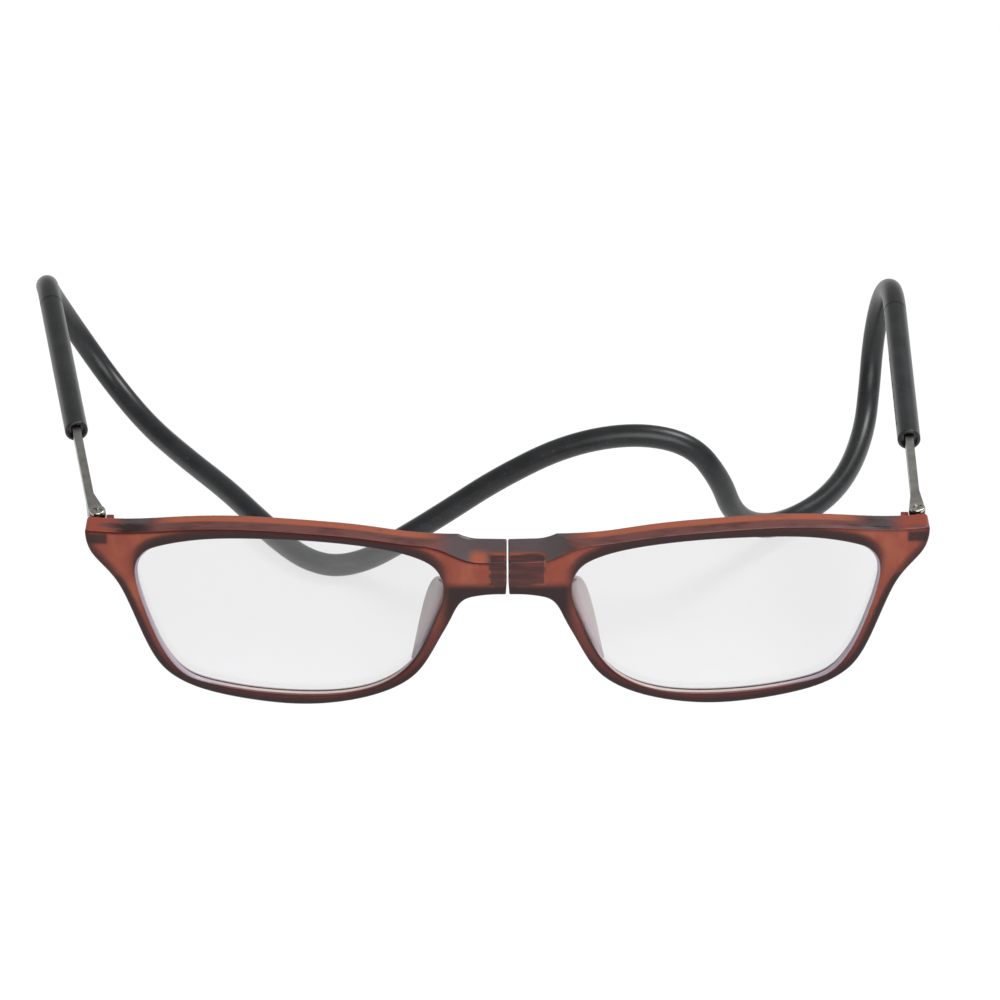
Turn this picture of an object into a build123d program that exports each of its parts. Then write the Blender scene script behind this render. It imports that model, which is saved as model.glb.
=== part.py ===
from build123d import *
import math
import os

os.makedirs("parts", exist_ok=True)

# Reading glasses that part at the bridge, where two magnets hold them shut, on a soft neck cord.
# X runs to the wearer's left, +Y to the rear and +Z up, in millimetres.
# Y = 0 is the front face at the bridge, and Z = 0 is the table under the rims and the cord.
# Every piece is drawn on the +X side, named right as in the photograph, and mirrored for the left.

sides = ("left", "right")

# Clearances and one overrun for every cut
overrun = 1.0
fit_clearance = 0.05
running_clearance = 0.05

# Front
front_half_width = 71.0
front_height = 36.0
wrap_angle = 2.0
frame_depth_top = 4.4
frame_depth_bottom = 3.4
seam_gap = 0.56
seam_rear_gap = 0.2
front_edge_round = 0.45
rear_edge_round = 0.6
end_corner_round = 0.7
seam_edge_round = 0.25
scoop_slope_share = 0.67

# Shares of the front's half width and height, from the end piece down to the lowest point
outer_side_shares = [
    (1.001, 0.928), (0.9905, 0.856), (0.963, 0.778), (0.9335, 0.694), (0.9085, 0.578), (0.8855, 0.442),
    (0.8615, 0.311), (0.828, 0.194), (0.776, 0.111), (0.687, 0.046), (0.594, 0.011), (0.507, -0.003),
]
# From the lowest point round the nasal side and under the bridge
nasal_side_shares = [
    (0.4225, 0.008), (0.345, 0.042), (0.275, 0.1), (0.2225, 0.181), (0.186, 0.294), (0.1605, 0.4),
    (0.135, 0.508), (0.1205, 0.572), (0.103, 0.614), (0.073, 0.636), (0.0395, 0.646),
]
seam_low_share = 0.65
seam_high_share = 0.925
# Along the top from the bridge out to the end piece
top_edge_shares = [
    (0.11, 0.921), (0.218, 0.9265), (0.338, 0.9585), (0.493, 0.986), (0.662, 1.001), (0.775, 0.993),
    (0.859, 0.98), (0.937, 0.976),
]
top_corner_share = 0.986
# The front edge of the hollow over the bridge
ridge_shares = [(0.07, 0.83), (0.107, 0.846), (0.158, 0.895), (0.2, 0.919), (0.235, 0.938), (0.27, 0.967)]
ridge_low_share = 0.83
# The lens opening
opening_shares = [
    (0.859, 0.858), (0.88, 0.783), (0.879, 0.681), (0.863, 0.542), (0.838, 0.383), (0.8085, 0.2555),
    (0.7675, 0.161), (0.704, 0.11), (0.627, 0.079), (0.535, 0.061), (0.451, 0.06), (0.373, 0.079),
    (0.307, 0.125), (0.258, 0.194), (0.2225, 0.283), (0.197, 0.383), (0.176, 0.494), (0.1605, 0.578),
    (0.1535, 0.6555), (0.158, 0.728), (0.176, 0.793), (0.214, 0.8425), (0.282, 0.885), (0.38, 0.9165),
    (0.493, 0.935), (0.606, 0.9405), (0.704, 0.935), (0.7815, 0.9135), (0.831, 0.888),
]

# Lenses, held in a groove behind a front lip
lens_thick = 1.8
lens_edge_bevel = 0.25
groove_depth = 0.8
front_lip = 0.9
rear_lip_relief = 0.5

# Nose pads, moulded on the rims: height, place and half axes of each level section
pad_lean_angle = 58
pad_sections = {
    "height": (24.0, 20.2, 15.8, 11.6, 8.0),
    "across": (10.9, 11.7, 13.1, 14.4, 15.8),
    "rearward": (4.4, 5.8, 5.5, 5.0, 4.2),
    "half_long": (1.5, 3.0, 2.7, 2.0, 1.0),
    "half_thick": (0.6, 0.9, 0.85, 0.7, 0.5),
}

# Magnets in their holders, let into the two faces of the bridge
magnet_height = 3.2
magnet_thick = 1.7
magnet_proud = 0.03
magnet_lengths = {"left": 2.0, "right": 4.0}
magnet_level = 27.3
magnet_setback = 2.4
magnet_edge_round = 0.15
holder_wall_side = 0.75
holder_wall_face = 0.35
holder_back_walls = {"left": 0.9, "right": 2.2}

# Temple bars: flat strips whose front ends fork round the hinge leaf
bar_width = 1.4
bar_tall = 1.8
temple_drop = 2.0
hinge_inset = 1.7
hinge_standoff = 1.72
bar_offsets = {"left": 0.7, "right": 0.0}
splay_angles = {"left": 9.8, "right": 0.5}
ear_radius = 1.4
ear_thick = 0.8
cheek_thick = 0.6
cheek_start = 1.5
fork_depth = 3.0
neck_down_length = 2.95
tang_size = 0.9
tang_length = 2.2

# Hinge leaf, moulded into the end piece, and its screw
knuckle_tall = 2.6
knuckle_radius = 1.3
leaf_tab_tall = 2.0
leaf_tab_inboard = 1.6
leaf_tab_outboard = 0.8
leaf_tab_thick = 2.0
leaf_tab_cover = 0.8
leaf_neck_width = 1.6
screw_radius = 0.6
screw_head_radius = 1.35
screw_head_tall = 0.6
screw_head_round = 0.25
screw_end_tall = 0.1
cross_angle = 20
cross_length = 1.7
cross_width = 0.38
cross_depth = 0.35

# Prongs at the back of the end piece, each side of the leaf
inner_prong_offset = 1.45
inner_prong_thick = 1.3
inner_prong_past_axis = 0.5
outer_prong_thick = 0.6
outer_prong_inset = 0.2
outer_prong_short = 1.4
prong_end_round = 0.25
prong_root = 1.2

# Slider tips on the bars, in sleeves that can click along them
tip_radius = 1.15
tip_length = 3.0
nib_radius = 0.4
nib_reach = 1.85
notch_pitch = 4.2
notch_count = 6
notch_radius = 0.6
notch_neck = 0.9
first_notch = 4.6
notches_in_use = {"left": 0, "right": 1}
mouth_at_full_reach = 27.1

# Sleeves on the cord's ends, with a guide inside
sleeve_length = 42.5
sleeve_radius = 2.0
sleeve_bore_radius = 1.5
sleeve_mouth_round = 0.35
sleeve_end_round = 0.15
guide_setback = 0.9
guide_front_wall = 1.2
guide_bore_radius = 1.2
guide_spare_length = 4.4
guide_mouth_clearance = 0.15

# Plugs that join the cord to the sleeves, and the cord itself
plug_length = 8.0
collar_thick = 0.4
plug_pin_radius = 0.75
plug_pin_length = 3.0
cord_radius = 1.95
lead_out = 6.9

# The cord's route between its two lead-outs, from the left sleeve round to the right one
cord_route = [
    (-83.9, 90.6, 29.8), (-82.2, 95.4, 22.5), (-78.4, 97.0, 14.2), (-73.0, 93.8, 7.0),
    (-66.2, 86.0, 2.6), (-58.4, 75.4, 2.0), (-50.6, 65.0, 2.0), (-44.4, 55.0, 2.0),
    (-39.8, 48.2, 2.0), (-35.4, 43.2, 2.0), (-30.4, 41.0, 2.0), (-24.6, 41.2, 3.4),
    (-18.6, 39.4, 8.5), (-11.4, 38.6, 14.2), (-1.6, 38.8, 21.6), (10.4, 38.8, 28.6),
    (22.6, 38.4, 31.3), (32.4, 37.6, 29.3), (37.4, 37.4, 22.0), (39.6, 40.6, 13.4),
    (43.6, 46.6, 6.4), (49.6, 53.0, 2.4), (56.8, 60.0, 2.0), (62.2, 69.8, 2.0),
    (65.8, 81.5, 3.6), (67.0, 88.9, 8.1), (67.6, 92.6, 15.2), (68.4, 92.4, 23.1), (69.3, 88.5, 30.1),
]


# Places worked out from the sizes above
wrap = math.radians(wrap_angle)
front_plane = Plane(
    origin=(0, 0, 0),
    x_dir=(math.cos(wrap), math.sin(wrap), 0),
    z_dir=(math.sin(wrap), -math.cos(wrap), 0),
)
seam_lean = (seam_gap - seam_rear_gap) / 2
seam_plane = Plane(
    origin=(seam_gap / 2, 0, 0),
    x_dir=(-seam_lean, frame_depth_top, 0),
    z_dir=(frame_depth_top, seam_lean, 0),
)
straight_in = (1, 0, 0)
bar_level = front_height - temple_drop
hinge_x = front_half_width - hinge_inset
hinge_y = hinge_x * math.tan(wrap) + frame_depth_top + hinge_standoff
ear_top = bar_level + bar_tall / 2
knuckle_top = ear_top - ear_thick - running_clearance
knuckle_bottom = knuckle_top - knuckle_tall
ear_bottom = knuckle_bottom - running_clearance - ear_thick
knuckle_level = (knuckle_top + knuckle_bottom) / 2
cheek_end = fork_depth + neck_down_length
tip_distance = mouth_at_full_reach + first_notch
bar_end = tip_distance - tip_length / 2
groove_width = lens_thick + 2 * fit_clearance
end_rear = hinge_x * math.tan(wrap) + frame_depth_top
tab_rear = end_rear - leaf_tab_cover
tab_front = tab_rear - leaf_tab_thick
holder_thick = magnet_thick + 2 * (fit_clearance + holder_wall_face)
holder_height = magnet_height + 2 * (fit_clearance + holder_wall_side)
notch_span = (notch_count - 1) * notch_pitch
guide_length = sleeve_length - plug_length - guide_spare_length - guide_setback
through_depth = frame_depth_top + overrun


def front_points(shares):
    """Points on the front's outline, from shares of its half width and height."""
    return [(across * front_half_width, up * front_height) for across, up in shares]


def grown(points, amount):
    """A closed clockwise outline's points, each moved outwards by an amount."""
    moved = []
    for index, (across, up) in enumerate(points):
        ahead = points[(index + 1) % len(points)]
        behind = points[index - 1]
        way = Vector(ahead[0] - behind[0], ahead[1] - behind[1]).normalized()
        moved.append((across - way.Y * amount, up + way.X * amount))
    return moved


def frame_depth(height):
    """How deep the frame is, front to back, at a height."""
    return frame_depth_bottom + (frame_depth_top - frame_depth_bottom) * height / front_height


def mouth_distance(side):
    """From the hinge axis back to the sleeve's mouth, along the temple."""
    return mouth_at_full_reach - notches_in_use[side] * notch_pitch


def temple_direction(side):
    """The way that the temple runs back from its hinge."""
    splay = math.radians(splay_angles[side])
    return Vector(math.sin(splay), math.cos(splay), 0)


def outward_direction(side):
    """Square to the temple, away from the wearer's head."""
    splay = math.radians(splay_angles[side])
    return Vector(math.cos(splay), -math.sin(splay), 0)


def bar_point(side, along):
    """A point on the centre line that the bar, sleeve and cord end share."""
    hinge = Vector(hinge_x, hinge_y, bar_level)
    return hinge + temple_direction(side) * along + outward_direction(side) * bar_offsets[side]


def square_plane(side, along):
    """Plane across the temple, with x inward and y up."""
    inward = outward_direction(side) * -1
    return Plane(origin=bar_point(side, along), x_dir=inward, z_dir=temple_direction(side))


def side_plane(side, along=0):
    """Upright plane through the temple's centre line, with x to the rear and y up."""
    rearward = temple_direction(side)
    return Plane(origin=bar_point(side, along), x_dir=rearward, z_dir=outward_direction(side))


def level_plane(side, height):
    """Level plane with its origin on the hinge axis, x to the rear and y inward."""
    origin = Vector(hinge_x, hinge_y, height)
    return Plane(origin=origin, x_dir=temple_direction(side), z_dir=(0, 0, 1))


def save(part, label):
    """Names a finished piece and writes it."""
    part.label = label
    export_step(part, f"parts/{label}.step")


# The seat that the lens's edge needs, which leaves a groove in the rim
with BuildPart() as lens_seat:
    with BuildSketch(front_plane.offset(-front_lip)):
        with BuildLine():
            Spline(*grown(front_points(opening_shares), groove_depth), periodic=True)
        make_face()
    extrude(amount=-groove_width)

# The hollow over the bridge, cut upwards to the rear from its ridge
with BuildPart() as bridge_hollow:
    with BuildSketch(front_plane.offset(overrun)):
        drop = overrun * scoop_slope_share
        ridge = [(across, up - drop) for across, up in front_points(ridge_shares)]
        ridge_start = (-overrun, ridge_low_share * front_height - drop)
        above_crest = (ridge[-1][0], front_height + overrun)
        above_start = (-overrun, front_height + overrun)
        with BuildLine():
            Line(ridge_start, ridge[0])
            Spline(*ridge)
            Polyline(ridge[-1], above_crest, above_start, ridge_start)
        make_face()
    extrude(amount=2 * through_depth, dir=(0, 1, scoop_slope_share))

for side in sides:
    # Half of the front: rim, half bridge, nose pad and end piece in one moulding
    with BuildPart() as front_frame:
        with BuildSketch(front_plane):
            lower = front_points(outer_side_shares + nasal_side_shares)
            corner = (lower[0][0], top_corner_share * front_height)
            seam_low = (-overrun, seam_low_share * front_height)
            seam_high = (-overrun, seam_high_share * front_height)
            with BuildLine():
                Spline(seam_high, *front_points(top_edge_shares), corner)
                Spline(corner, *lower, seam_low)
                Line(seam_low, seam_high)
            make_face()
            fillet(vertices().sort_by(Axis.X)[-1], radius=end_corner_round)
        extrude(amount=-through_depth)
        with BuildSketch(Plane.YZ.offset(-overrun)):
            with BuildLine():
                Polyline(
                    (frame_depth(-overrun), -overrun),
                    (frame_depth(front_height + overrun), front_height + overrun),
                    (hinge_y + overrun, front_height + overrun),
                    (hinge_y + overrun, -overrun),
                    close=True,
                )
            make_face()
        extrude(
            amount=front_half_width + 2 * overrun,
            dir=front_plane.x_dir,
            mode=Mode.SUBTRACT,
        )
        add(bridge_hollow.part, mode=Mode.SUBTRACT)
        with BuildSketch(front_plane.offset(overrun)):
            with BuildLine():
                Spline(*front_points(opening_shares), periodic=True)
            make_face()
        extrude(amount=-through_depth - overrun, mode=Mode.SUBTRACT)
        with BuildSketch(front_plane.offset(-front_lip - groove_width)):
            with BuildLine():
                Spline(*grown(front_points(opening_shares), rear_lip_relief), periodic=True)
            make_face()
        extrude(amount=-through_depth, mode=Mode.SUBTRACT)
        walls = front_frame.faces().filter_by(GeomType.PLANE).sort_by(SortBy.AREA)[-2:]
        walls = walls.sort_by(Axis.Y)
        for wall, radius in ((walls[0], front_edge_round), (walls[1], rear_edge_round)):
            rims = [edge for edge in wall.edges() if edge.center().X > 0]
            fillet(rims, radius=radius)
        add(lens_seat.part, mode=Mode.SUBTRACT)
        split(bisect_by=Plane.XY)
        split(bisect_by=seam_plane)
        seam = front_frame.faces().sort_by(Axis.X)[0]
        fillet(seam.edges(), radius=seam_edge_round)

        # Nose pad
        for height, across, rearward, half_long, half_thick in zip(*pad_sections.values()):
            with BuildSketch(Plane.XY.offset(height)):
                with Locations((across, rearward)):
                    Ellipse(half_long, half_thick, rotation=pad_lean_angle)
        loft()

        # Prongs each side of the hinge leaf
        inner_prong_length = hinge_y + inner_prong_past_axis - end_rear + prong_root
        outer_prong_length = hinge_y - outer_prong_short - end_rear + prong_root
        inner_prong_x = hinge_x - inner_prong_offset - inner_prong_thick / 2
        outer_prong_x = front_half_width - outer_prong_inset - outer_prong_thick / 2
        with BuildSketch(Plane.XY.offset(knuckle_bottom)):
            with Locations((inner_prong_x, end_rear - prong_root)):
                Rectangle(inner_prong_thick, inner_prong_length, align=(Align.CENTER, Align.MIN))
            with Locations((outer_prong_x, end_rear - prong_root)):
                Rectangle(outer_prong_thick, outer_prong_length, align=(Align.CENTER, Align.MIN))
            fillet(vertices().group_by(Axis.Y)[1], radius=prong_end_round)
            fillet(vertices().group_by(Axis.Y)[-1], radius=prong_end_round)
        extrude(amount=knuckle_tall)

        # Pockets for the hinge leaf and for the magnet's holder
        with BuildSketch(Plane.XY.offset(knuckle_level - leaf_tab_tall / 2 - fit_clearance)):
            with Locations((hinge_x + leaf_tab_outboard + fit_clearance, tab_rear + fit_clearance)):
                Rectangle(
                    leaf_tab_inboard + leaf_tab_outboard + 2 * fit_clearance,
                    leaf_tab_thick + 2 * fit_clearance,
                    align=(Align.MAX, Align.MAX),
                )
            with Locations((hinge_x, tab_rear)):
                Rectangle(
                    leaf_neck_width + 2 * fit_clearance,
                    leaf_tab_cover + prong_root,
                    align=(Align.CENTER, Align.MIN),
                )
        extrude(amount=leaf_tab_tall + 2 * fit_clearance, mode=Mode.SUBTRACT)
        holder_length = magnet_lengths[side] - magnet_proud + fit_clearance + holder_back_walls[side]
        with BuildSketch(seam_plane):
            with Locations((magnet_setback, magnet_level)):
                Rectangle(holder_thick + 2 * fit_clearance, holder_height + 2 * fit_clearance)
        extrude(amount=holder_length + fit_clearance, dir=straight_in, mode=Mode.SUBTRACT)
        if side == "left":
            mirror(about=Plane.YZ, mode=Mode.REPLACE)
    save(front_frame.part, f"front_frame_{side}")

    # Lens, whose edge stands in the groove
    with BuildPart() as lens:
        with BuildSketch(front_plane.offset(-front_lip - fit_clearance)):
            with BuildLine():
                lens_growth = groove_depth - fit_clearance
                Spline(*grown(front_points(opening_shares), lens_growth), periodic=True)
            make_face()
        extrude(amount=-lens_thick)
        chamfer(lens.edges(), length=lens_edge_bevel)
        if side == "left":
            mirror(about=Plane.YZ, mode=Mode.REPLACE)
    save(lens.part, f"lens_{side}")

    # Magnet holder: a cup in the bridge, open at the seam
    with BuildPart() as magnet_holder:
        with BuildSketch(seam_plane):
            with Locations((magnet_setback, magnet_level)):
                Rectangle(holder_thick, holder_height)
        extrude(amount=holder_length, dir=straight_in)
        fillet(magnet_holder.edges().filter_by(Axis.X), radius=magnet_edge_round)
        with BuildSketch(seam_plane):
            with Locations((magnet_setback, magnet_level)):
                Rectangle(magnet_thick + 2 * fit_clearance, magnet_height + 2 * fit_clearance)
        cup_depth = magnet_lengths[side] - magnet_proud + fit_clearance
        extrude(amount=cup_depth, dir=straight_in, mode=Mode.SUBTRACT)
        if side == "left":
            mirror(about=Plane.YZ, mode=Mode.REPLACE)
    save(magnet_holder.part, f"magnet_holder_{side}")

    # Bridge magnet, a little proud of the seam
    with BuildPart() as bridge_magnet:
        with BuildSketch(seam_plane.offset(-magnet_proud)):
            with Locations((magnet_setback, magnet_level)):
                Rectangle(magnet_thick, magnet_height)
        extrude(amount=magnet_lengths[side], dir=straight_in)
        fillet(bridge_magnet.edges(), radius=magnet_edge_round)
        if side == "left":
            mirror(about=Plane.YZ, mode=Mode.REPLACE)
    save(bridge_magnet.part, f"bridge_magnet_{side}")

    # Hinge leaf: a tab in the end piece, a neck and a knuckle round the screw
    with BuildPart() as hinge_leaf:
        with BuildSketch(Plane.XY.offset(knuckle_level - leaf_tab_tall / 2)):
            with Locations((hinge_x + leaf_tab_outboard, tab_rear)):
                Rectangle(
                    leaf_tab_inboard + leaf_tab_outboard,
                    leaf_tab_thick,
                    align=(Align.MAX, Align.MAX),
                )
            with Locations((hinge_x, tab_rear)):
                Rectangle(leaf_neck_width, hinge_y - tab_rear, align=(Align.CENTER, Align.MIN))
        extrude(amount=leaf_tab_tall)
        with BuildSketch(Plane.XY.offset(knuckle_bottom)):
            with Locations((hinge_x, hinge_y)):
                Circle(knuckle_radius)
        extrude(amount=knuckle_tall)
        with Locations((hinge_x, hinge_y, knuckle_top)):
            Hole(screw_radius + running_clearance)
        if side == "left":
            mirror(about=Plane.YZ, mode=Mode.REPLACE)
    save(hinge_leaf.part, f"hinge_leaf_{side}")

    # Hinge screw, with a cross in its round head
    with BuildPart() as hinge_screw:
        with BuildSketch(Plane.XY.offset(ear_bottom - screw_end_tall)):
            with Locations((hinge_x, hinge_y)):
                Circle(screw_radius)
        extrude(amount=ear_top - ear_bottom + screw_end_tall)
        with BuildSketch(Plane.XY.offset(ear_top)):
            with Locations((hinge_x, hinge_y)):
                Circle(screw_head_radius)
        extrude(amount=screw_head_tall)
        fillet(hinge_screw.edges().group_by(Axis.Z)[-1], radius=screw_head_round)
        with BuildSketch(Plane.XY.offset(ear_top + screw_head_tall)):
            with Locations((hinge_x, hinge_y)):
                Rectangle(cross_length, cross_width, rotation=cross_angle)
                Rectangle(cross_width, cross_length, rotation=cross_angle)
        extrude(amount=-cross_depth, mode=Mode.SUBTRACT)
        if side == "left":
            mirror(about=Plane.YZ, mode=Mode.REPLACE)
    save(hinge_screw.part, f"hinge_screw_{side}")

    # Temple bar: a strip that widens into a fork with two ears and a cheek on its outer side
    with BuildPart() as temple_bar:
        with BuildSketch(level_plane(side, ear_bottom)):
            Circle(ear_radius)
            with BuildLine():
                Polyline(
                    (0, ear_radius),
                    (cheek_end, bar_width / 2 - bar_offsets[side]),
                    (cheek_end, -bar_width / 2 - bar_offsets[side]),
                    (0, -ear_radius),
                    close=True,
                )
            make_face()
        extrude(amount=ear_top - ear_bottom)
        with BuildSketch(level_plane(side, ear_bottom + ear_thick)):
            with Locations((cheek_start, 0)):
                Rectangle(
                    2 * ear_radius + cheek_start, 4 * ear_radius, align=(Align.MAX, Align.CENTER)
                )
            with Locations((fork_depth, cheek_thick - ear_radius)):
                Rectangle(fork_depth, 4 * ear_radius, align=(Align.MAX, Align.MIN))
        extrude(amount=knuckle_tall + 2 * running_clearance, mode=Mode.SUBTRACT)
        with BuildSketch(side_plane(side).offset(-2 * ear_radius)):
            with BuildLine():
                Polyline(
                    (fork_depth + cheek_thick, ear_bottom - bar_level),
                    (cheek_end, -bar_tall / 2),
                    (cheek_end + overrun, -bar_tall / 2),
                    (cheek_end + overrun, ear_bottom - bar_level),
                    close=True,
                )
            make_face()
        extrude(amount=4 * ear_radius, mode=Mode.SUBTRACT)
        with BuildSketch(square_plane(side, fork_depth)):
            Rectangle(bar_width, bar_tall)
        extrude(amount=bar_end - fork_depth)
        with BuildSketch(square_plane(side, bar_end)):
            Rectangle(tang_size, tang_size)
        extrude(amount=tang_length)
        with Locations((hinge_x, hinge_y, ear_top)):
            Hole(screw_radius + fit_clearance)
        if side == "left":
            mirror(about=Plane.YZ, mode=Mode.REPLACE)
    save(temple_bar.part, f"temple_bar_{side}")

    # Slider tip on the bar's end, with a nib that clicks in the sleeve's notches
    with BuildPart() as slider_tip:
        with BuildSketch(square_plane(side, bar_end)):
            Circle(tip_radius)
        extrude(amount=tip_length)
        with BuildSketch(side_plane(side, tip_distance)):
            Circle(nib_radius)
        extrude(amount=-nib_reach)
        with BuildSketch(square_plane(side, bar_end)):
            Rectangle(tang_size + 2 * fit_clearance, tang_size + 2 * fit_clearance)
        extrude(amount=tang_length + fit_clearance, mode=Mode.SUBTRACT)
        if side == "left":
            mirror(about=Plane.YZ, mode=Mode.REPLACE)
    save(slider_tip.part, f"slider_tip_{side}")

    # Sleeve, with a row of notches along its inner side
    mouth = mouth_distance(side)
    with BuildPart() as sleeve:
        with BuildSketch(square_plane(side, mouth)):
            Circle(sleeve_radius)
        extrude(amount=sleeve_length)
        rims = sleeve.edges().filter_by(GeomType.CIRCLE).sort_by_distance(bar_point(side, mouth))
        fillet(rims[0], radius=sleeve_mouth_round)
        fillet(rims[-1], radius=sleeve_end_round)
        with BuildSketch(square_plane(side, mouth)):
            Circle(sleeve_bore_radius)
        extrude(amount=sleeve_length, mode=Mode.SUBTRACT)
        with BuildSketch(side_plane(side, mouth + first_notch + notch_span / 2)):
            Rectangle(notch_span, notch_neck)
            with GridLocations(notch_pitch, notch_pitch, notch_count, 1):
                Circle(notch_radius)
        extrude(amount=-sleeve_radius - overrun, mode=Mode.SUBTRACT)
        if side == "left":
            mirror(about=Plane.YZ, mode=Mode.REPLACE)
    save(sleeve.part, f"sleeve_{side}")

    # Guide inside the sleeve: a narrow mouth round the bar, a bore for the tip and a slot
    with BuildPart() as sleeve_guide:
        with BuildSketch(square_plane(side, mouth + guide_setback)):
            Circle(sleeve_bore_radius - fit_clearance)
        extrude(amount=guide_length)
        with BuildSketch(square_plane(side, mouth + guide_setback + guide_front_wall)):
            Circle(guide_bore_radius)
        extrude(amount=guide_length, mode=Mode.SUBTRACT)
        with BuildSketch(square_plane(side, mouth)):
            Rectangle(bar_width + 2 * guide_mouth_clearance, bar_tall + 2 * guide_mouth_clearance)
        extrude(amount=guide_length, mode=Mode.SUBTRACT)
        with BuildSketch(side_plane(side, mouth + first_notch + notch_span / 2)):
            Rectangle(notch_span + 2 * notch_radius, notch_neck)
        extrude(amount=-sleeve_radius, mode=Mode.SUBTRACT)
        if side == "left":
            mirror(about=Plane.YZ, mode=Mode.REPLACE)
    save(sleeve_guide.part, f"sleeve_guide_{side}")

    # Plug in the sleeve's rear end, with a collar and a pin that the cord is pushed onto
    sleeve_end = mouth + sleeve_length
    with BuildPart() as cord_plug:
        with BuildSketch(square_plane(side, sleeve_end - plug_length)):
            Circle(sleeve_bore_radius - fit_clearance)
        extrude(amount=plug_length)
        with BuildSketch(square_plane(side, sleeve_end)):
            Circle(cord_radius)
        extrude(amount=collar_thick)
        with BuildSketch(square_plane(side, sleeve_end + collar_thick)):
            Circle(plug_pin_radius)
        extrude(amount=plug_pin_length)
        if side == "left":
            mirror(about=Plane.YZ, mode=Mode.REPLACE)
    save(cord_plug.part, f"cord_plug_{side}")


def cord_end(side, out):
    """A point behind the sleeve, on the side where it really is."""
    along = mouth_distance(side) + sleeve_length + collar_thick + out
    point = bar_point(side, along)
    return Vector(-point.X, point.Y, point.Z) if side == "left" else point


# Neck cord, one soft tube from the left sleeve to the right one
route = [cord_end("left", 0), cord_end("left", lead_out)]
route += [Vector(*point) for point in cord_route]
route += [cord_end("right", lead_out), cord_end("right", 0)]
runs = [after - before for before, after in zip(route, route[1:])]
turns = [before.get_angle(after) for before, after in zip(runs, runs[1:])]
bend_share = 0.45
bends = []
for before, after, turn in zip(runs, runs[1:], turns):
    shorter = min(before.length, after.length)
    bends.append(bend_share * shorter / math.tan(math.radians(turn) / 2))

with BuildPart() as neck_cord:
    with BuildLine() as cord_path:
        FilletPolyline(*route, radius=bends)
    with BuildSketch(Plane(origin=route[0], z_dir=runs[0])):
        Circle(cord_radius)
    sweep()
    cord_volume = neck_cord.part.volume
    for end, inward in ((route[0], runs[0]), (route[-1], runs[-1] * -1)):
        with BuildSketch(Plane(origin=end, z_dir=inward)):
            Circle(plug_pin_radius + fit_clearance)
        extrude(amount=plug_pin_length + fit_clearance, mode=Mode.SUBTRACT)
save(neck_cord.part, "neck_cord")

cord_length = cord_path.wires()[0].length
print("cord runs", [round(run.length, 1) for run in runs])
print("cord turns", [round(turn, 1) for turn in turns])
print("cord radii", [round(bend, 1) for bend in bends])
print("cord length", round(cord_length, 1), "lowest point", round(min(p.Z for p in route), 2))
print("cord volume over section times length", cord_volume / (math.pi * cord_radius**2 * cord_length))
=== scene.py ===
"""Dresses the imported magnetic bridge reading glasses: materials, neck cord, floor, lights and camera."""
import math

import bpy
from mathutils import Matrix, Vector

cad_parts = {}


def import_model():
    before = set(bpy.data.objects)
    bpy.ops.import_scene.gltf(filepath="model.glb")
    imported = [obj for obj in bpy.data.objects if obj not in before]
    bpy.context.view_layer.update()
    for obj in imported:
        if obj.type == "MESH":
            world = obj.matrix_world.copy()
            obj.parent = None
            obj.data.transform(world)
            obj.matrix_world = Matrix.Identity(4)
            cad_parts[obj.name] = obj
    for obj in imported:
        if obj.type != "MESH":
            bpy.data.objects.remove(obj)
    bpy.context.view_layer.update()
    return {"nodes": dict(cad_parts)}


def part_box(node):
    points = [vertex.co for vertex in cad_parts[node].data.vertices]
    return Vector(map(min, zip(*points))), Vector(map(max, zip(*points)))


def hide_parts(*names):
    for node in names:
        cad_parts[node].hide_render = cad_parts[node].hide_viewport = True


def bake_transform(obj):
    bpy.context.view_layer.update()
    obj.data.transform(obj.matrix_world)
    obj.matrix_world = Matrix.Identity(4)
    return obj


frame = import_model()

# Lengths are in metres, places are those of the part at rest, and left is left in the photograph
mm = 0.001
sides = ("left", "right")
straight_down = (0, 0, -1)
straight_up = (0, 0, 1)
wrap = math.radians(2)    # each half of the front leans back this much from its middle


# Colours, linear, as they are seen in the photograph under plain white light
amber = (0.266, 0.056, 0.033, 1)
orange = (0.350, 0.092, 0.049, 1)
russet = (0.200, 0.042, 0.031, 1)
deep_red = (0.120, 0.011, 0.010, 1)
# Painted shade along the ridge under the top face
ridge_shade_red = (0.070, 0.005, 0.004, 1)
# A dark smoky tone, used also as painted shade on the frame's edges, under the bridge and over the hinge
# tabs
smoke_and_painted_shade = (0.026, 0.010, 0.011, 1)
slate = (0.086, 0.065, 0.068, 1)
umber = (0.150, 0.056, 0.049, 1)
insert_brown = (0.052, 0.022, 0.022, 1)
insert_red = (0.125, 0.026, 0.020, 1)
rose = (0.46, 0.39, 0.38, 1)
pale_rose = (0.80, 0.66, 0.64, 1)
violet_grey = (0.36, 0.31, 0.36, 1)
near_black = (0.010, 0.007, 0.007, 1)
charcoal = (0.017, 0.018, 0.020, 1)
charcoal_dark = (0.009, 0.010, 0.011, 1)
rubber_speck = (0.16, 0.16, 0.17, 1)
gunmetal = (0.42, 0.41, 0.38, 1)
silver = (0.58, 0.57, 0.52, 1)
# Painted shade for the front ends of the hinge leaves and bars
hinge_shade = (0.045, 0.042, 0.038, 1)
holder_black = (0.03, 0.02, 0.02, 1)
tip_grey = (0.05, 0.05, 0.05, 1)
guide_grey = (0.03, 0.03, 0.033, 1)
plug_black = (0.01, 0.01, 0.01, 1)
lens_tint = (0.84, 0.84, 0.85, 1)
lens_shadow = (0.9, 0.9, 0.91, 1)
floor_grey = (0.85, 0.85, 0.85, 1)
white = (1, 1, 1, 1)

# Where the floor and the backdrop are seen, they glow a touch above white
backdrop_glow = 1.03


def darker(colour, share):
    """A colour with this share of its brightness."""
    red, green, blue, alpha = colour
    return (share * red, share * green, share * blue, alpha)


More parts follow.
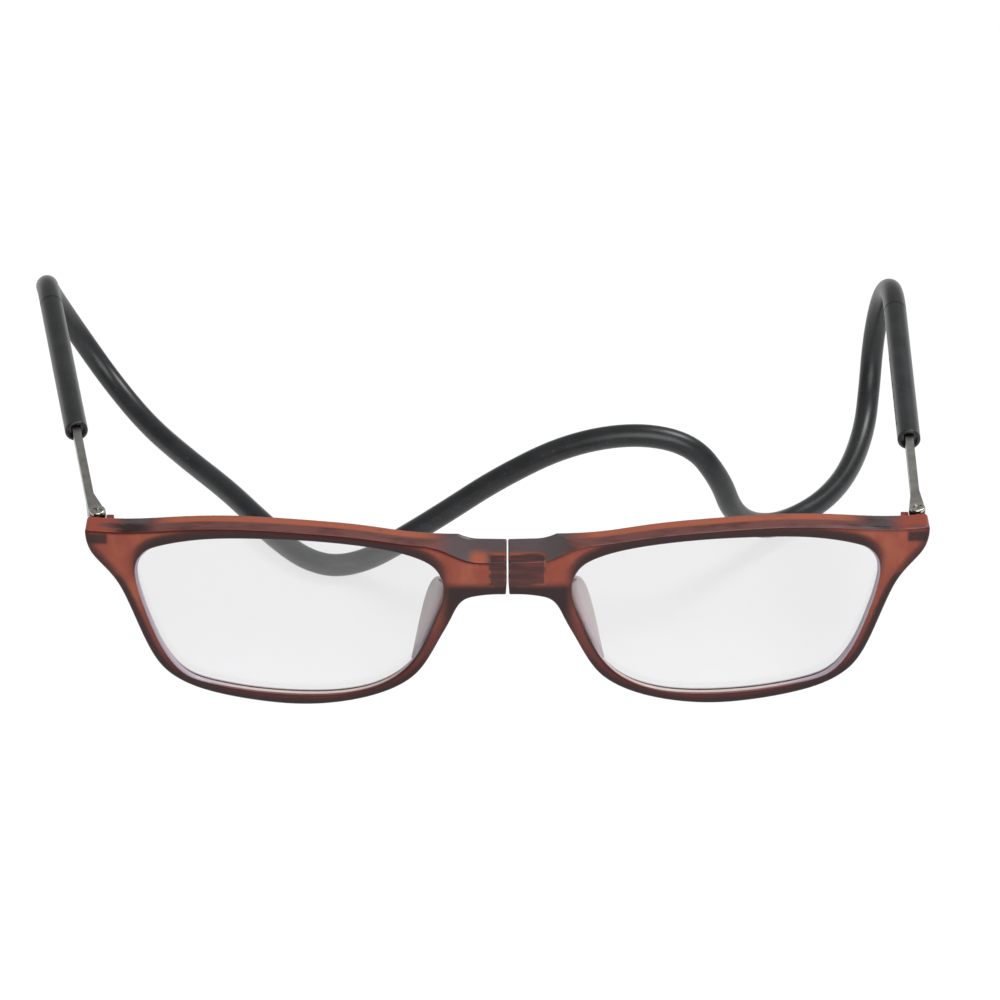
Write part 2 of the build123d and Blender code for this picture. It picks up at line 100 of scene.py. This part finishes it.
class Graph:
    """The node tree of a material or of the world."""

    def __init__(self, owner):
        owner.use_nodes = True
        self.tree = owner.node_tree

    def feed(self, node, values):
        """Sets or joins a node's inputs, which are given by name or number."""
        for key, value in values.items():
            if isinstance(value, bpy.types.NodeSocket):
                self.tree.links.new(value, node.inputs[key])
            else:
                node.inputs[key].default_value = value

    def add(self, kind, values, out=0, **settings):
        """Makes a node and returns one of its outputs."""
        node = self.tree.nodes.new("ShaderNode" + kind)
        for key, value in settings.items():
            setattr(node, key, value)
        self.feed(node, values)
        return node.outputs[out]

    def rays(self):
        """The outputs that tell what kind of ray it is."""
        return self.tree.nodes.new("ShaderNodeLightPath").outputs

    def math(self, operation, first, second=0.0):
        return self.add("Math", {0: first, 1: second}, operation=operation)

    def minus(self, value):
        return self.math("MULTIPLY", value, -1.0)

    def without(self, value):
        return self.math("SUBTRACT", 1.0, value)

    def most(self, *values):
        """The largest of some values."""
        top = values[0]
        for value in values[1:]:
            top = self.math("MAXIMUM", top, value)
        return top

    def all(self, *values):
        """The product of some values, which is high only where all of them are."""
        total = values[0]
        for value in values[1:]:
            total = self.math("MULTIPLY", total, value)
        return total

    def spread(self, value, low, high):
        """A value from 0 to 1 laid out between low and high."""
        return self.add("MapRange", {"Value": value, "To Min": low, "To Max": high})

    def smooth(self, value, low, high):
        """0 up to low, 1 from high on, and an even rise between them."""
        values = {"Value": value, "From Min": low, "From Max": high}
        return self.add("MapRange", values, interpolation_type="SMOOTHSTEP")

    def band(self, value, low, high, soft):
        """1 between low and high, and 0 outside, with soft edges."""
        rise = self.smooth(value, low - soft, low + soft)
        fall = self.smooth(value, high - soft, high + soft)
        return self.all(rise, self.without(fall))

    # A Mix node has its numbers at inputs 2 and 3, and its colours at inputs 6 and 7 and output 2
    def mix(self, share, first, second):
        """The first colour at share 0 and the second at share 1."""
        return self.add("Mix", {0: share, 6: first, 7: second}, out=2, data_type="RGBA")

    def mix_value(self, share, first, second):
        """The first number at share 0 and the second at share 1."""
        return self.add("Mix", {0: share, 2: first, 3: second}, data_type="FLOAT")

    def parts(self, vector):
        """The X, Y and Z of a vector."""
        node = self.tree.nodes.new("ShaderNodeSeparateXYZ")
        self.feed(node, {0: vector})
        return node.outputs

    def place(self):
        """Where a point lies with its piece at rest, so that patterns stay on the piece as it moves."""
        return self.add("TexCoord", {}, out="Object")

    def facing(self):
        """How the surface faces with its piece at rest."""
        normal = self.add("NewGeometry", {}, out="Normal")
        return self.add("VectorTransform", {0: normal}, vector_type="NORMAL",
                        convert_from="WORLD", convert_to="OBJECT")

    def wall_near(self, direction, reach):
        """How much of the half-sphere round a direction is closed by the piece's own walls within reach."""
        way = self.add("VectorTransform", {0: direction}, vector_type="VECTOR",
                       convert_from="OBJECT", convert_to="WORLD")
        open_share = self.add("AmbientOcclusion", {"Distance": reach, "Normal": way}, out="AO",
                              samples=8, only_local=True)
        return self.without(open_share)

    def stretched(self, vector, factors):
        """A vector scaled apart along X, Y and Z, for grain that runs one way."""
        return self.add("Mapping", {"Vector": vector, "Scale": factors})

    def noise(self, vector, scale, detail):
        return self.add("TexNoise", {"Vector": vector, "Scale": scale, "Detail": detail})

    def bump(self, height, depth, strength):
        return self.add("Bump", {"Height": height, "Distance": depth, "Strength": strength})


class Finish(Graph):
    """The node tree of one new material."""

    def __init__(self, name):
        self.material = bpy.data.materials.new(name)
        super().__init__(self.material)
        self.shader = self.tree.nodes["Principled BSDF"]
        self.output = self.tree.nodes["Material Output"]

    def finish(self, **values):
        """Sets the shader's inputs by name, with spaces for underscores, and returns the material."""
        self.feed(self.shader, {key.replace("_", " "): value for key, value in values.items()})
        return self.material


def rubber(name):
    """Soft charcoal rubber: a fine grain, faint clouds, a few pale specks and a low sheen."""
    graph = Finish(name)
    place = graph.place()
    grain = graph.noise(place, scale=5200.0, detail=2.0)
    cloud = graph.noise(place, scale=190.0, detail=4.0)
    speck = graph.smooth(graph.noise(place, scale=2600.0, detail=1.0), low=0.70, high=0.76)
    speck_strength = 0.35
    tone = graph.mix(graph.smooth(cloud, low=0.35, high=0.68), charcoal_dark, charcoal)
    tone = graph.mix(graph.math("MULTIPLY", speck, speck_strength), tone, rubber_speck)
    return graph.finish(Base_Color=tone, Roughness=graph.spread(cloud, low=0.30, high=0.42),
                        Specular_IOR_Level=0.48, Sheen_Weight=0.10, Sheen_Roughness=0.35,
                        Normal=graph.bump(grain, depth=0.02 * mm, strength=0.3))


def metal(name, colour, rough_low, rough_high, stretch=(1, 1, 1), shade_before=None):
    """Metal with a fine grain, drawn out by stretch, faint patches and maybe a front end darkened with
    painted shade.
    """
    graph = Finish(name)
    place = graph.place()
    grain = graph.noise(graph.stretched(place, stretch), scale=9000.0, detail=2.0)
    patch = graph.noise(place, scale=420.0, detail=3.0)
    tone = graph.mix(graph.smooth(patch, low=0.3, high=0.75), colour, darker(colour, share=0.72))
    # A dark front end, when asked for, is painted shade
    if shade_before is not None:
        soft = 0.6 * mm
        y = graph.parts(place)[1]
        shaded_front_end = graph.without(graph.smooth(y, shade_before - soft, shade_before + soft))
        tone = graph.mix(shaded_front_end, tone, hinge_shade)
    return graph.finish(Base_Color=tone, Metallic=1.0, Roughness=graph.spread(grain, rough_low, rough_high),
                        Normal=graph.bump(grain, depth=0.006 * mm, strength=0.4))


def plain_plastic(name, colour, rough):
    """Moulded plastic with a fine grain and slight changes of tone."""
    graph = Finish(name)
    place = graph.place()
    cloud = graph.noise(place, scale=600.0, detail=3.0)
    grain = graph.noise(place, scale=4200.0, detail=2.0)
    tone = graph.mix(graph.smooth(cloud, low=0.3, high=0.7), colour, darker(colour, share=0.6))
    return graph.finish(Base_Color=tone, Roughness=rough,
                        Normal=graph.bump(grain, depth=0.01 * mm, strength=0.4))


def clear_lens():
    """Clear lens plastic, faintly tinted, which shadow rays cross so that the lamps light what is behind."""
    graph = Finish("clear_lens")
    graph.finish(Base_Color=lens_tint, Roughness=0.0, IOR=1.62, Transmission_Weight=1.0)
    through = graph.add("BsdfTransparent", {"Color": lens_shadow})
    shadow = graph.rays()["Is Shadow Ray"]
    both = graph.add("MixShader", {0: shadow, 1: graph.shader.outputs[0], 2: through})
    graph.feed(graph.output, {"Surface": both})
    return graph.material


# Frame plastic: each zone has its own tone, painted shade or painted light, told by a point's place and
# facing and by the walls near it
class FramePoint:
    """Where a point of a front half lies and how it faces, and the plastic's streaks and clouds there."""

    def __init__(self, graph):
        self.place = graph.place()
        self.x, y, self.z = graph.parts(self.place)
        self.side = graph.math("SIGN", self.x)
        self.across = graph.math("ABSOLUTE", self.x)
        self.depth = graph.math("SUBTRACT", y, graph.math("MULTIPLY", self.across, math.tan(wrap)))
        facing_x, self.facing_y, self.facing_z = graph.parts(graph.facing())
        self.outward = graph.math("MULTIPLY", facing_x, self.side)
        self.down = graph.minus(self.facing_z)
        self.front = graph.smooth(graph.minus(self.facing_y), low=0.45, high=0.75)
        self.upward = graph.smooth(self.facing_z, low=0.40, high=0.62)
        self.streak = graph.noise(graph.stretched(self.place, (1.0, 3.0, 6.0)), scale=160.0, detail=3.0)
        self.cloud = graph.noise(graph.stretched(self.place, (1.0, 1.0, 0.6)), scale=230.0, detail=3.0)


def broad_faces(graph, point):
    """Broad front faces, redder towards the lower rim."""
    lower_rim = (-0.001, 0.017)
    tone = graph.mix(graph.smooth(point.cloud, low=0.40, high=0.72), amber, orange)
    return graph.mix(graph.band(point.z, *lower_rim, soft=0.006), tone, russet)


def edges(graph, point, tone):
    """Painted shade on edges over walls that face down, or down and out, and on faces turned down, and the
    lower rim's deep red inner edge.
    """
    inner_red_top = (0.007, 0.012)
    lower_to_middle = (0.008, 0.014)
    middle_to_high = (0.022, 0.029)
    flank_top = (0.0255, 0.0275)
    flank_start = (0.030, 0.036)
    flank_out = 0.85
    flank_up = -0.5
    below = graph.wall_near(straight_down, reach=2.4 * mm)
    close_below = graph.wall_near(straight_down, reach=1.5 * mm)
    above = graph.wall_near(straight_up, reach=2.0 * mm)
    out = graph.math("MULTIPLY", point.side, flank_out)
    out_and_down = graph.add("CombineXYZ", {"X": out, "Z": flank_up})
    flank = graph.wall_near(out_and_down, reach=1.7 * mm)

    # Painted shade: darker where a wall lies close below, or out and below, and where the surface faces down
    low_shade = graph.smooth(close_below, low=0.06, high=0.20)
    middle_shade = graph.smooth(below, low=0.24, high=0.34)
    high_shade = graph.smooth(below, low=0.17, high=0.29)
    lower_shade = graph.mix_value(graph.smooth(point.z, *lower_to_middle), low_shade, middle_shade)
    rim_shade = graph.mix_value(graph.smooth(point.z, *middle_to_high), lower_shade, high_shade)
    flank_shade = graph.all(graph.smooth(flank, low=0.14, high=0.28),
                            graph.smooth(point.across, *flank_start),
                            graph.without(graph.smooth(point.z, *flank_top)))
    painted_shade = graph.most(rim_shade, flank_shade, graph.smooth(point.down, low=0.05, high=0.25))
    inner_red = graph.all(graph.smooth(above, low=0.16, high=0.30),
                          graph.without(graph.smooth(point.z, *inner_red_top)))
    tone = graph.mix(inner_red, tone, deep_red)
    return graph.mix(painted_shade, tone, smoke_and_painted_shade)


def ridge(graph, point):
    """The painted shade line of the ridge under the top face, and the left half, where it is clearest."""
    ridge_height = (0.026, 0.029)
    ridge_slope = (0.15, 0.58)
    left_to_right = (-0.004, 0.006)
    under_lip = graph.smooth(graph.wall_near(straight_up, reach=0.8 * mm), low=0.12, high=0.34)
    sloping = graph.band(point.facing_z, *ridge_slope, soft=0.08)
    line = graph.all(graph.most(under_lip, sloping), graph.smooth(point.z, *ridge_height))
    left_half = graph.without(graph.smooth(point.x, *left_to_right))
    return line, left_half


def bridge_underside(graph, point, tone):
    """Painted shade on the front under the bridge."""
    half_width = (0.0095, 0.0125)
    underside_top = (0.0243, 0.0262)
    middle = graph.without(graph.smooth(point.across, *half_width))
    low = graph.without(graph.smooth(point.z, *underside_top))
    return graph.mix(graph.all(middle, low, point.front), tone, smoke_and_painted_shade)


def top_face(graph, point, tone):
    """Top face: an orange stripe behind a brown one, dark ends, a black rear edge and one lit patch."""
    stripe_depth = (2.2 * mm, 3.9 * mm)
    stripe_across = (0.0125, 0.0585)
    bridge_across = (0.0085, 0.0125)
    dark_end_across = (0.0600, 0.0665)
    corner_across = (0.0635, 0.0680)
    rear_edge_depth = (4.05 * mm, 4.6 * mm)
    streak_strength = 0.6
    brown_streaks = graph.math("MULTIPLY", graph.smooth(point.streak, low=0.45, high=0.75), streak_strength)
    top = graph.mix(brown_streaks, umber, smoke_and_painted_shade)
    stripe = graph.all(graph.band(point.depth, *stripe_depth, soft=0.3 * mm),
                       graph.band(point.across, *stripe_across, soft=0.003))
    top = graph.mix(graph.all(stripe, graph.smooth(point.streak, low=0.22, high=0.42)), top, orange)
    dark_end = graph.mix(graph.smooth(point.streak, low=0.38, high=0.62), smoke_and_painted_shade, slate)
    top = graph.mix(graph.band(point.across, *dark_end_across, soft=0.002), top, dark_end)
    top = graph.mix(graph.without(graph.smooth(point.across, *bridge_across)), top, slate)
    corner = graph.all(graph.smooth(point.across, *corner_across),
                       graph.smooth(point.streak, low=0.36, high=0.50))
    top = graph.mix(corner, top, amber)
    top = graph.mix(graph.band(point.depth, *rear_edge_depth, soft=0.1 * mm), top, near_black)
    tone = graph.mix(point.upward, tone, top)

    # The painted patch of light lies in the left half's hollow, beside its insert
    lit_patch_x = (-0.0062, -0.0035)
    lit_patch_z = (0.0295, 0.0310)
    patch = graph.all(graph.band(point.x, *lit_patch_x, soft=0.0010),
                      graph.band(point.z, *lit_patch_z, soft=0.0006), point.upward)
    return graph.mix(patch, tone, orange)


def window(graph, point, box, wider, bottom, top, soft_x, soft_z):
    """1 where a piece's box lies behind, made wider on both sides and with its bottom and top moved up."""
    low, high = box
    return graph.all(graph.band(point.x, low[0] - wider, high[0] + wider, soft_x),
                     graph.band(point.z, low[2] + bottom, high[2] + top, soft_z))


def bridge_insert(graph, point, tone, side):
    """A bridge insert seen through the plastic: dark bars, and a broken orange outline of painted glints
    along its edges.
    """
    insert_strength = 0.9
    insert_glint_strength = 0.6
    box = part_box(f"magnet_holder_{side}")
    zone = window(graph, point, box, wider=0.0, bottom=0.4 * mm, top=1.3 * mm,
                  soft_x=0.15 * mm, soft_z=0.25 * mm)
    inside = window(graph, point, box, wider=-0.3 * mm, bottom=0.7 * mm, top=1.0 * mm,
                    soft_x=0.1 * mm, soft_z=0.1 * mm)
    bars = graph.noise(graph.stretched(point.place, (0.2, 1.0, 2.0)), scale=560.0, detail=2.0)
    shade = graph.mix(graph.smooth(bars, low=0.46, high=0.66), insert_brown, insert_red)
    tone = graph.mix(graph.math("MULTIPLY", zone, insert_strength), tone, shade)
    # The broken orange outline is painted glints along the insert's edges
    insert_glint = graph.all(zone, graph.without(inside), graph.smooth(bars, low=0.40, high=0.55))
    return graph.mix(graph.math("MULTIPLY", insert_glint, insert_glint_strength), tone, orange)


def hinge_tab(graph, point, tone, side):
    """A hinge leaf's tab seen dark through the end piece, as painted shade a little wider than the tab."""
    tab_strength = 0.9
    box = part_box(f"hinge_leaf_{side}")
    zone = window(graph, point, box, wider=0.3 * mm, bottom=1.1 * mm, top=0.5 * mm,
                  soft_x=0.3 * mm, soft_z=0.35 * mm)
    return graph.mix(graph.math("MULTIPLY", graph.all(zone, point.front), tab_strength), tone, smoke_and_painted_shade)


def lens_walls(graph, point, tone):
    """Walls round the lens: pale behind it, where the light comes through, and orange at the lip's edge."""
    lens_middle_across = 0.0365
    lens_middle_height = 0.0175
    lip_depth = (0.7 * mm, 0.9 * mm)
    behind_lip = (0.85 * mm, 1.0 * mm)
    low_lip_front = (0.15 * mm, 0.40 * mm)
    low_lip_top = (0.009, 0.014)
    outer_wall_depth = (0.9 * mm, 1.0 * mm)
    outer_wall_across = (0.045, 0.050)
    to_middle_x = graph.math("SUBTRACT", lens_middle_across, point.across)
    to_middle_z = graph.math("SUBTRACT", lens_middle_height, point.z)
    inward = graph.math("ADD", graph.math("MULTIPLY", to_middle_x, point.outward),
                        graph.math("MULTIPLY", to_middle_z, point.facing_z))
    sideways = graph.without(graph.smooth(graph.math("ABSOLUTE", point.facing_y), low=0.5, high=0.8))
    inner = graph.all(graph.smooth(inward, low=0.002, high=0.005), sideways)

    lip_edge = graph.all(inner, graph.smooth(point.down, low=0.40, high=0.55),
                         graph.without(graph.smooth(point.depth, *lip_depth)))
    tone = graph.mix(lip_edge, tone, orange)
    upright = graph.smooth(graph.math("ABSOLUTE", point.outward), low=0.5, high=0.9)
    pale = graph.mix(upright, pale_rose, violet_grey)
    tone = graph.mix(graph.all(inner, graph.smooth(point.depth, *behind_lip)), tone, pale)
    low_lip = graph.all(inner, graph.smooth(point.facing_z, low=0.30, high=0.55),
                        graph.without(graph.smooth(point.z, *low_lip_top)))
    tone = graph.mix(low_lip, tone, graph.mix(graph.smooth(point.depth, *low_lip_front), deep_red, rose))
    outer_wall = graph.all(graph.smooth(graph.minus(point.outward), low=0.10, high=0.30),
                           graph.smooth(point.across, *outer_wall_across),
                           graph.without(graph.smooth(point.depth, *outer_wall_depth)))
    return graph.mix(outer_wall, tone, violet_grey)


def rear_parts(graph, point, tone):
    """The nose pads, seen pale and pinkish through the lenses, and the russet rear of the end pieces."""
    behind_rim = (4.3 * mm, 4.7 * mm)
    pad_across = (0.022, 0.024)
    end_piece_across = (0.050, 0.060)
    behind = graph.smooth(point.depth, *behind_rim)
    tone = graph.mix(graph.all(behind, graph.without(graph.smooth(point.across, *pad_across))), tone, rose)
    return graph.mix(graph.all(behind, graph.smooth(point.across, *end_piece_across)), tone, russet)


def frame_plastic():
    """Translucent brown plastic: the tones of its zones, with their painted shade and light, laid one over
    another.
    """
    graph = Finish("frame_plastic")
    point = FramePoint(graph)
    # The ridge line is painted shade, stronger on the left half
    ridge_shade_right = 0.45
    ridge_shade_left = 0.95
    ridge_rough = 0.85
    tone = edges(graph, point, broad_faces(graph, point))
    ridge_shade_line, left_half = ridge(graph, point)
    ridge_shade_strength = graph.mix_value(left_half, ridge_shade_right, ridge_shade_left)
    tone = graph.mix(graph.all(ridge_shade_line, ridge_shade_strength), tone, ridge_shade_red)
    tone = bridge_underside(graph, point, tone)
    tone = top_face(graph, point, tone)
    for side in sides:
        tone = bridge_insert(graph, point, tone, side)
        tone = hinge_tab(graph, point, tone, side)
    tone = lens_walls(graph, point, tone)
    tone = rear_parts(graph, point, tone)
    rough = graph.spread(point.cloud, low=0.26, high=0.38)
    rough = graph.mix_value(graph.all(ridge_shade_line, left_half), rough, ridge_rough)
    grain = graph.noise(point.place, scale=3600.0, detail=2.0)
    return graph.finish(Base_Color=tone, Roughness=rough, Specular_IOR_Level=0.30, Subsurface_Weight=0.12,
                        Subsurface_Radius=(1.0, 0.35, 0.25), Subsurface_Scale=0.5 * mm,
                        Normal=graph.bump(grain, depth=0.006 * mm, strength=0.3))


# Places along Y in front of which the hinge leaves and the bars are darkened with painted shade, where the
# end pieces shade them
leaf_shade_before = 0.0080
bar_shade_before = 0.0082

finishes = {
    "front_frame": frame_plastic(),
    "lens": clear_lens(),
    "magnet_holder": plain_plastic("holder_plastic", holder_black, rough=0.35),
    "bridge_magnet": metal("magnet_nickel", silver, rough_low=0.18, rough_high=0.30),
    "hinge_leaf": metal("leaf_steel", gunmetal, rough_low=0.25, rough_high=0.42, stretch=(1, 1, 6),
                        shade_before=leaf_shade_before),
    "hinge_screw": metal("screw_steel", silver, rough_low=0.16, rough_high=0.30),
    "temple_bar": metal("bar_gunmetal", gunmetal, rough_low=0.26, rough_high=0.40, stretch=(6, 1, 6),
                        shade_before=bar_shade_before),
    "slider_tip": plain_plastic("tip_plastic", tip_grey, rough=0.4),
    "sleeve": rubber("sleeve_rubber"),
    "sleeve_guide": plain_plastic("guide_plastic", guide_grey, rough=0.2),
    "cord_plug": plain_plastic("plug_plastic", plug_black, rough=0.4),
}
for piece, finish in finishes.items():
    for side in sides:
        node = frame["nodes"][f"{piece}_{side}"]
        node.data.materials.clear()
        node.data.materials.append(finish)


# Neck cord: the route is the one that the solid follows
cord_size = 0.004
cord_left_end = (-0.081905, 0.077400, 0.034)
cord_right_end = (0.069874, 0.074337, 0.034)
cord_route = [
    cord_left_end, (-0.083079, 0.084199, 0.034),
    (-0.0839, 0.0906, 0.0298), (-0.0822, 0.0954, 0.0225), (-0.0784, 0.0970, 0.0142),
    (-0.0730, 0.0938, 0.0070), (-0.0662, 0.0860, 0.0026), (-0.0584, 0.0754, 0.0020),
    (-0.0506, 0.0650, 0.0020), (-0.0444, 0.0550, 0.0020), (-0.0398, 0.0482, 0.0020),
    (-0.0354, 0.0432, 0.0020), (-0.0304, 0.0410, 0.0020), (-0.0246, 0.0412, 0.0034),
    (-0.0186, 0.0394, 0.0085), (-0.0114, 0.0386, 0.0142), (-0.0016, 0.0388, 0.0216),
    (0.0104, 0.0388, 0.0286), (0.0226, 0.0384, 0.0313), (0.0324, 0.0376, 0.0293),
    (0.0374, 0.0374, 0.0220), (0.0396, 0.0406, 0.0134), (0.0436, 0.0466, 0.0064),
    (0.0496, 0.0530, 0.0024), (0.0568, 0.0600, 0.0020), (0.0622, 0.0698, 0.0020),
    (0.0658, 0.0815, 0.0036), (0.0670, 0.0889, 0.0081), (0.0676, 0.0926, 0.0152),
    (0.0684, 0.0924, 0.0231), (0.0693, 0.0885, 0.0301),
    (0.069934, 0.081237, 0.034), cord_right_end,
]
route_steps = 8         # between two points of the route
round_steps = 8         # extra points on each half of the tube's circle


def route_curve(name, points):
    """A smooth open line that the points steer."""
    curve = bpy.data.curves.new(name, "CURVE")
    curve.dimensions = "3D"
    curve.resolution_u = route_steps
    spline = curve.splines.new("NURBS")
    spline.points.add(len(points) - 1)
    for knot, place in zip(spline.points, points):
        knot.co = (*place, 1)
    spline.order_u = 3
    spline.use_endpoint_u = True
    line = bpy.data.objects.new(name, curve)
    bpy.context.scene.collection.objects.link(line)
    return line


def neck_cord():
    """The rubber cord as one round tube from sleeve to sleeve."""
    line = route_curve("cord_line", cord_route)
    centre = bpy.data.meshes.new_from_object(line)
    line.data.bevel_depth = cord_size / 2
    line.data.bevel_resolution = round_steps
    line.data.use_fill_caps = True
    bpy.context.view_layer.update()
    tube = bpy.data.meshes.new_from_object(line.evaluated_get(bpy.context.evaluated_depsgraph_get()))
    bpy.data.objects.remove(line)
    cord = bpy.data.objects.new("neck_cord_rubber", tube)
    bpy.context.scene.collection.objects.link(cord)
    tube.materials.clear()
    tube.materials.append(rubber("cord_rubber"))
    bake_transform(cord)
    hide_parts("neck_cord")


neck_cord()


def floor():
    """A wide pale floor, white where it is seen straight and softly shaded through the lenses."""
    floor_size = 8
    glow_straight = 0.95
    glow_through = 0.55
    glow_mirrored = 0.80
    bpy.ops.mesh.primitive_plane_add(size=floor_size, location=(0, 0, 0))
    ground = bpy.context.object
    ground.name = "floor"
    graph = Finish("floor_white")
    paint = graph.add("BsdfDiffuse", {"Color": floor_grey})
    glow = graph.add("Emission", {"Color": white, "Strength": backdrop_glow})
    rays = graph.rays()
    share = graph.most(graph.math("MULTIPLY", rays["Is Camera Ray"], glow_straight),
                       graph.math("MULTIPLY", rays["Is Transmission Ray"], glow_through),
                       graph.math("MULTIPLY", rays["Is Glossy Ray"], glow_mirrored))
    graph.feed(graph.output, {"Surface": graph.add("MixShader", {0: share, 1: paint, 2: glow})})
    ground.data.materials.append(graph.material)


def lamp(name, place, size, watts):
    """A soft square lamp at a place, aimed at the middle of the part."""
    aim = Vector((0, 0.04, 0.02))
    light = bpy.data.lights.new(name, "AREA")
    light.shape = "SQUARE"
    light.size = size
    light.energy = watts
    holder = bpy.data.objects.new(name, light)
    bpy.context.scene.collection.objects.link(holder)
    holder.location = place
    holder.rotation_euler = (aim - Vector(place)).to_track_quat("-Z", "Y").to_euler()


def world(strength):
    """Even light from all round, white where it is seen straight or through the lenses."""
    sky = bpy.data.worlds.new("studio")
    bpy.context.scene.world = sky
    graph = Graph(sky)
    soft = graph.tree.nodes["Background"]
    graph.feed(soft, {"Color": white, "Strength": strength})
    bright = graph.add("Background", {"Color": white, "Strength": backdrop_glow})
    rays = graph.rays()
    seen = graph.most(rays["Is Camera Ray"], rays["Is Transmission Ray"])
    light = graph.add("MixShader", {0: seen, 1: soft.outputs[0], 2: bright})
    graph.feed(graph.tree.nodes["World Output"], {"Surface": light})


floor()
lamp("key", place=(0.40, 0.30, 0.75), size=0.30, watts=4.1)
lamp("fill", place=(0.12, -0.66, 0.58), size=0.6, watts=4.4)
world(strength=0.36)


# Camera: where the photograph was taken from, worked out from the bridge, the hinges and the sleeves
camera_drop = math.radians(33.5)
camera_roll = math.radians(0.2)
camera_distance = 0.900
camera_target = Vector((-0.001234, 0.019658, 0.029699))
camera_lens = 189.03
sensor_width = 36.0


def camera():
    """A camera that looks along +Y and down at the target, rolled a little."""
    forward = Vector((0, math.cos(camera_drop), -math.sin(camera_drop)))
    up = Vector((0, math.sin(camera_drop), math.cos(camera_drop)))
    right = Vector((1, 0, 0))
    turned_right = right * math.cos(camera_roll) - up * math.sin(camera_roll)
    turned_up = right * math.sin(camera_roll) + up * math.cos(camera_roll)
    data = bpy.data.cameras.new("camera")
    data.lens = camera_lens
    data.sensor_width = sensor_width
    data.clip_start = 0.05
    data.clip_end = 20
    eye = bpy.data.objects.new("camera", data)
    bpy.context.scene.collection.objects.link(eye)
    axes = Matrix((turned_right, turned_up, -forward)).transposed().to_4x4()
    axes.translation = camera_target - forward * camera_distance
    eye.matrix_world = axes
    bpy.context.scene.camera = eye


camera()
bpy.context.scene.view_settings.view_transform = "Standard"
